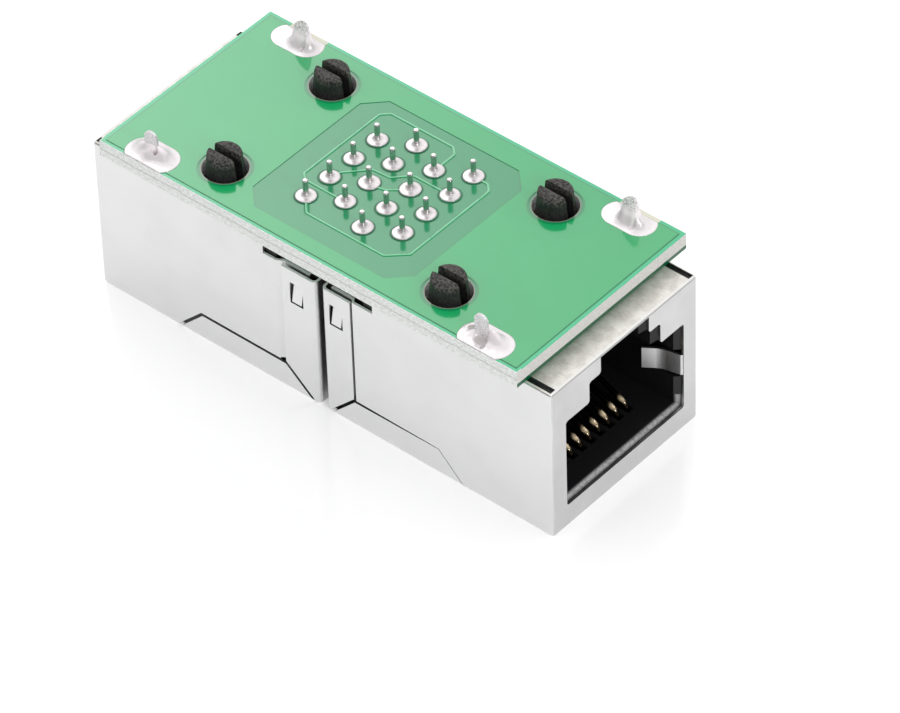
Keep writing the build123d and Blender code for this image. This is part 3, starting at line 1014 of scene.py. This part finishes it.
    def build(self, solder: Material) -> None:
        """Dress the board's node and add its tracks and pin joints.

        Args:
            solder: The solder's finish.
        """
        dress(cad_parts["circuit_board"], SolderMask(self.plan).make())
        points, edges = [], []
        for route in self.routes():
            edges += [(len(points) + i, len(points) + i + 1) for i in range(len(route) - 1)]
            points += [(x, y, self.plan.top) for x, y in route]
        trace = Trace().make()
        tracks = self.track_rule().run(guide_mesh("tracks", points, edges), trace)
        finish_piece(tracks, "tracks", trace)
        rule = self.joint_rule()
        for end in End:
            points = [(x, y, self.plan.top - SUNK) for x, y in self.pins(end)]
            mesh = rule.run(guide_mesh("pin_joints", points), solder)
            outward(mesh)
            finish_piece(mesh, f"pin_joints_{end.letter}", solder, [f"pin_solder_{end.letter}"])


def dress(node: bpy.types.Object, material: Material) -> None:
    """Give a frame node its finish.

    Args:
        node: The node's object.
        material: The finish.
    """
    if not node.material_slots:
        node.data.materials.append(material)
    for slot in node.material_slots:
        slot.material = material
    LOG.info("%s: %s", node.name, material.name)


def outward(mesh: Mesh) -> None:
    """Turn a closed mesh's faces outwards.

    Args:
        mesh: The mesh.
    """
    work = bmesh.new()
    work.from_mesh(mesh)
    bmesh.ops.recalc_face_normals(work, faces=work.faces)
    work.to_mesh(mesh)
    work.free()


# Solder on the shield tabs

@dataclass
class TabJoint:
    """One sculpted lump of solder round a shield tab, in millimetres from the tab.

    The solder climbs to rise at the tab and falls off over spread, faster past its ends with more cling.
    Outset and slide move the pad's middle outwards and along. A ridge is its place, width and height. A pit
    is its place, its two half widths and the height of its floor above the board.
    """

    end: End
    row: Row
    rise: float
    spread: float
    ridges: tuple
    pits: tuple
    film: float = 0.13
    shoulder: float = 0.22
    ripple: float = 0.05
    ripple_scale: float = 1.7
    pit_wall: float = 9.0
    flow: float = 1.7
    reach: float = 3.5
    half_length: float = 2.2
    half_width: float = 1.3
    outset: float = 0.0
    slide: float = 0.0
    cling: float = 0.75
    tab_half: float = 0.6
    tab_thick: float = 0.11
    hole_half: float = 0.55
    hole_round: float = 0.36
    around: int = 144
    rings: int = 32
    plan: BoardPlan = BoardPlan()

    @property
    def shift(self) -> float:
        """How far the pad's middle is from the tab, along the coupler: half the tabs stand further back."""
        staggered = self.end.value * self.row.value < 0
        return self.end.value * self.plan.tab_stagger if staggered else 0.0

    def outline(self, turn: float) -> Vector:
        """A point on the pad's outline: a long round-ended pad, cut off at the board's edge.

        Args:
            turn: Angle about the tab.

        Returns:
            The flat place from the tab, in millimetres: along the coupler and outwards.
        """
        straight = self.half_length - self.half_width
        edge = self.plan.near_pad_edge if self.row is Row.NEAR else self.plan.far_pad_edge
        heading = Vector((math.cos(turn), math.sin(turn)))
        low, high = 0.0, self.reach
        for _ in range(30):
            middle = (low + high) / 2
            point = heading * middle
            along = max(abs(point.x - self.shift - self.slide) - straight, 0.0)
            inside = math.hypot(along, point.y - self.outset) < self.half_width
            if inside and point.y < edge - self.plan.tab_y:
                low = middle
            else:
                high = middle
        return heading * low

    def height(self, place: Vector, inward: float) -> float:
        """Height of the solder above the board.

        Args:
            place: Flat place from the tab, in millimetres.
            inward: 0 on the pad's outline, 1 at the tab.

        Returns:
            The height in millimetres.
        """
        side = max(abs(place.x) - self.tab_half, 0.0)
        front = max(abs(place.y) - self.tab_thick, 0.0)
        distance = math.hypot(side * self.cling, front)
        shoulder = 1 - self.shoulder * min(abs(place.x) / self.tab_half, 1.0) ** 2
        film = self.film * (1 - (1 - min(inward * 1.3, 1.0)) ** 2)
        value = film + (self.rise - self.film) * shoulder * math.exp(-distance / self.spread)
        for x, y, width, lift in self.ridges:
            away = (place.x - x) ** 2 + (place.y - y) ** 2
            value += lift * min(inward * 2.5, 1.0) * math.exp(-away / width ** 2)
        bumps = noise.noise(Vector((place.x * self.ripple_scale + self.end.value * 5,
                                    place.y * self.ripple_scale + self.row.value * 9, 0.0)))
        value += self.ripple * min(inward * 3, 1.0) * bumps
        for x, y, width, floor in self.pits:
            away = math.hypot((place.x - x) / width[0], (place.y - y) / width[1])
            fall = 1 / (1 + math.exp((away - 1) * self.pit_wall))
            value = value * (1 - fall) + floor * fall
        return value

    def build(self, solder: Material) -> None:
        """Sculpt the lump and hide the frame's own.

        Args:
            solder: The solder's finish.
        """
        turns = [math.tau * step / self.around for step in range(self.around)]
        loops = []
        for level in (self.plan.bottom - self.plan.top, -2 * SUNK):
            loop = []
            for turn in turns:
                end_x = math.copysign(self.hole_half, math.cos(turn)) + self.shift
                place = Vector((end_x + self.hole_round * math.cos(turn), self.hole_round * math.sin(turn)))
                loop.append((place, level))
            loops.append(loop)
        for ring in range(self.rings + 1):
            inward = ring / self.rings
            loop = []
            for turn in turns:
                tab = Vector((self.tab_half * math.cos(turn), self.tab_thick * math.sin(turn)))
                place = self.outline(turn).lerp(tab, 1 - (1 - inward) ** self.flow)
                loop.append((place, self.height(place, inward) if ring else -SUNK))
            loops.append(loop)
        work = bmesh.new()
        made = [[work.verts.new(self.seat(place, height)) for place, height in loop] for loop in loops]
        for lower, upper in zip(made, made[1:]):
            for step in range(self.around):
                nxt = (step + 1) % self.around
                work.faces.new((lower[step], lower[nxt], upper[nxt], upper[step]))
        work.faces.new(made[0])
        work.faces.new(made[-1])
        bmesh.ops.recalc_face_normals(work, faces=work.faces)
        tab = f"{self.end.letter}_{self.row.name.lower()}"
        name = f"tab_joint_{tab}"
        mesh = bpy.data.meshes.new(name)
        work.to_mesh(mesh)
        work.free()
        mesh.shade_smooth()
        finish_piece(mesh, name, solder, [f"tab_solder_{tab}"])

    def seat(self, place: Vector, height: float) -> tuple[float, float, float]:
        """Turn a place at this tab into one in the shared frame.

        Args:
            place: Flat place from the tab, in millimetres.
            height: Height above the board, in millimetres.

        Returns:
            The place in metres.
        """
        x = self.end.value * self.plan.pad_x - self.shift + place.x
        y = self.row.value * (self.plan.tab_y + place.y)
        return x * MM, y * MM, (self.plan.top + height) * MM


# Jacks

@dataclass
class Jack:
    """One shielded jack: its shield, mouldings and contact wires come from the frame and are dressed here."""

    end: End

    def build(self, sheet: Material, moulding: Material, wire: Material) -> None:
        """Dress every node of the jack.

        Args:
            sheet: The shield's finish.
            moulding: The housing's and the carrier's finish.
            wire: The contacts' finish.
        """
        letter = self.end.letter
        dress(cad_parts[f"shield_{letter}"], sheet)
        for name in ("housing", "contact_carrier"):
            dress(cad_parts[f"{name}_{letter}"], moulding)
        for number in range(1, 9):
            dress(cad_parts[f"contact_{letter}_{number}"], wire)


# Studio

@dataclass
class Studio:
    """Floor, light and camera."""

    floor_half: float = 3.0
    floor_level: float = -0.00002
    sky: float = 0.88
    eye: tuple = (0.23276, -0.25535, 0.31789)
    right: tuple = (0.76141, 0.64778, -0.02519)
    down: tuple = (0.42555, -0.52876, -0.73438)
    ahead: tuple = (-0.48904, 0.54845, -0.67827)
    lens: float = 263.24
    sensor: float = 36.0
    bright_side: tuple = (-0.47, 0.53, 0.70)
    bright_within: float = 0.62
    dark_beyond: float = 0.30
    dark_level: float = 0.22
    lit_point: tuple = (0.0, 0.0, 0.01)

    def floor(self) -> None:
        """Lay the floor under the coupler."""
        mesh = bpy.data.meshes.new("floor")
        half, level = self.floor_half, self.floor_level
        corners = [(-half, -half, level), (half, -half, level), (half, half, level), (-half, half, level)]
        mesh.from_pydata(corners, [], [(0, 1, 2, 3)])
        mesh.materials.append(StudioFloor().make())
        add_object("floor", mesh)

    def world(self) -> None:
        """Surround the coupler with even white light, which gloss sees bright only behind and above."""
        world = bpy.data.worlds.new("studio")
        world.use_nodes = True
        book = NodeBook(world.node_tree)
        book.tree.nodes.clear()
        paths = book.node("ShaderNodeLightPath")
        seen = Channel(book, paths.outputs["Is Camera Ray"])
        for kind in ("Is Glossy Ray", "Is Transmission Ray"):
            seen = seen.largest(Channel(book, paths.outputs[kind]))
        towards = book.node("ShaderNodeTexCoord").outputs["Generated"]
        sideways = book.node("ShaderNodeVectorMath", {"operation": "DOT_PRODUCT"},
                             {0: towards, 1: self.bright_side})
        away = Channel(book, sideways.outputs["Value"]).ramped(self.bright_within, self.dark_beyond)
        dark = away * Channel(book, paths.outputs["Is Glossy Ray"])
        strength = (seen * (1 - self.sky) + self.sky) * (1 - dark * (1 - self.dark_level))
        light = book.node("ShaderNodeBackground", {}, {"Color": WHITE, "Strength": strength})
        book.node("ShaderNodeOutputWorld", {}, {"Surface": light})
        bpy.context.scene.world = world

    def lamp(self, name: str, place: tuple, size: tuple, radiance: float, fade: tuple = (0.0, 1.0, 1.0),
             mirrored: bool = True, lights: bool = True) -> None:
        """Hang one soft lamp that faces the coupler.

        Args:
            name: The lamp's name.
            place: Its middle, in metres.
            size: Its width and height, in metres.
            radiance: How bright its face is, where 1 is white.
            fade: Where across its face it starts to dim and where it ends, and its share of light after that.
            mirrored: Whether it shows in gloss.
            lights: Whether it lights matt surfaces.
        """
        data = bpy.data.lights.new(name, "AREA")
        data.shape = "RECTANGLE"
        data.size, data.size_y = size
        data.energy = radiance * math.pi * size[0] * size[1]
        data.use_nodes = True
        book = NodeBook(data.node_tree)
        book.tree.nodes.clear()
        across = book.split(book.node("ShaderNodeNewGeometry").outputs["Parametric"])[0]
        start, stop, rest = fade
        dimming = across.ramped(start, stop)
        glow = book.node("ShaderNodeEmission", {}, {"Strength": 1 - dimming * (1 - rest)})
        book.node("ShaderNodeOutputLight", {}, {"Surface": glow})
        lamp = add_object(name, data)
        lamp.location = place
        lamp.rotation_euler = (Vector(self.lit_point) - Vector(place)).to_track_quat("-Z", "Y").to_euler()
        lamp.visible_camera = False
        lamp.visible_glossy, lamp.visible_diffuse = mirrored, lights

    def camera(self) -> None:
        """Put the camera at the photograph's viewpoint."""
        data = bpy.data.cameras.new("camera")
        data.sensor_width, data.lens = self.sensor, self.lens
        data.clip_start, data.clip_end = 0.01, 20.0
        camera = add_object("camera", data)
        axes = [self.right, tuple(-c for c in self.down), tuple(-c for c in self.ahead)]
        turn = Matrix([[axis[row] for axis in axes] for row in range(3)])
        camera.matrix_world = Matrix.Translation(self.eye) @ turn.to_4x4()
        bpy.context.scene.camera = camera

    def build(self) -> None:
        """Set up the whole studio."""
        self.floor()
        self.world()
        self.lamp("rear_softbox", (-0.33, 0.37, 0.46), (0.55, 0.55), 1.7, (0.66, 0.40, 0.18), lights=False)
        self.lamp("right_softbox", (0.45, -0.30, 0.50), (0.4, 0.4), 2.2, mirrored=False)
        self.lamp("port_card", (0.43, -0.10, 0.25), (0.09, 0.09), 16.0)
        self.camera()
        bpy.context.scene.view_settings.view_transform = "Standard"


def main() -> None:
    """Build every part of the coupler, then the studio."""
    logging.basicConfig(level=logging.INFO, format="%(message)s")
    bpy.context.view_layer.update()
    solder = Solder().make()
    CircuitBoard().build(solder)
    sheet, moulding, wire = PlatedSheet().make(), BlackMoulding().make(), PlatedWire().make()
    for end in End:
        Jack(end).build(sheet, moulding, wire)
    near = {"half_width": 1.45, "outset": 0.15}
    far = {"rise": 1.95, "spread": 0.2, "cling": 1.4}
    joints = (
        TabJoint(End.A, Row.NEAR, rise=0.8, spread=0.28, slide=0.13, **near,
                 ridges=((0.9, -0.1, 0.5, 0.38), (1.5, 0.0, 0.5, 0.2), (-1.2, -0.1, 0.6, 0.25),
                         (0.1, 0.5, 0.4, 0.3)),
                 pits=((0.55, 0.25, (0.17, 0.14), 0.03),)),
        TabJoint(End.A, Row.FAR, slide=-0.15, **far,
                 ridges=((0.5, -0.25, 0.45, 0.5), (1.0, -0.2, 0.5, 0.28), (-0.2, -0.5, 0.4, 0.3)),
                 pits=((0.6, -0.65, (0.13, 0.24), 0.06),)),
        TabJoint(End.B, Row.NEAR, rise=0.5, spread=0.3, slide=0.2, **near,
                 ridges=((0.85, -0.25, 0.40, 0.5), (1.4, -0.2, 0.5, 0.3), (1.9, -0.1, 0.4, 0.1)),
                 pits=((0.26, 0.42, (0.54, 0.45), 0.03), (0.55, 0.9, (0.34, 0.32), 0.02),
                       (-1.1, -0.2, (0.26, 0.27), 0.03))),
        TabJoint(End.B, Row.FAR, slide=-0.1, **far,
                 ridges=((0.5, -0.25, 0.45, 0.5), (1.05, -0.2, 0.5, 0.28), (-0.2, -0.5, 0.4, 0.3)),
                 pits=((0.76, -0.7, (0.13, 0.24), 0.06),)),
    )
    for joint in joints:
        joint.build(solder)
    Studio().build()


if __name__ == "__main__":
    main()
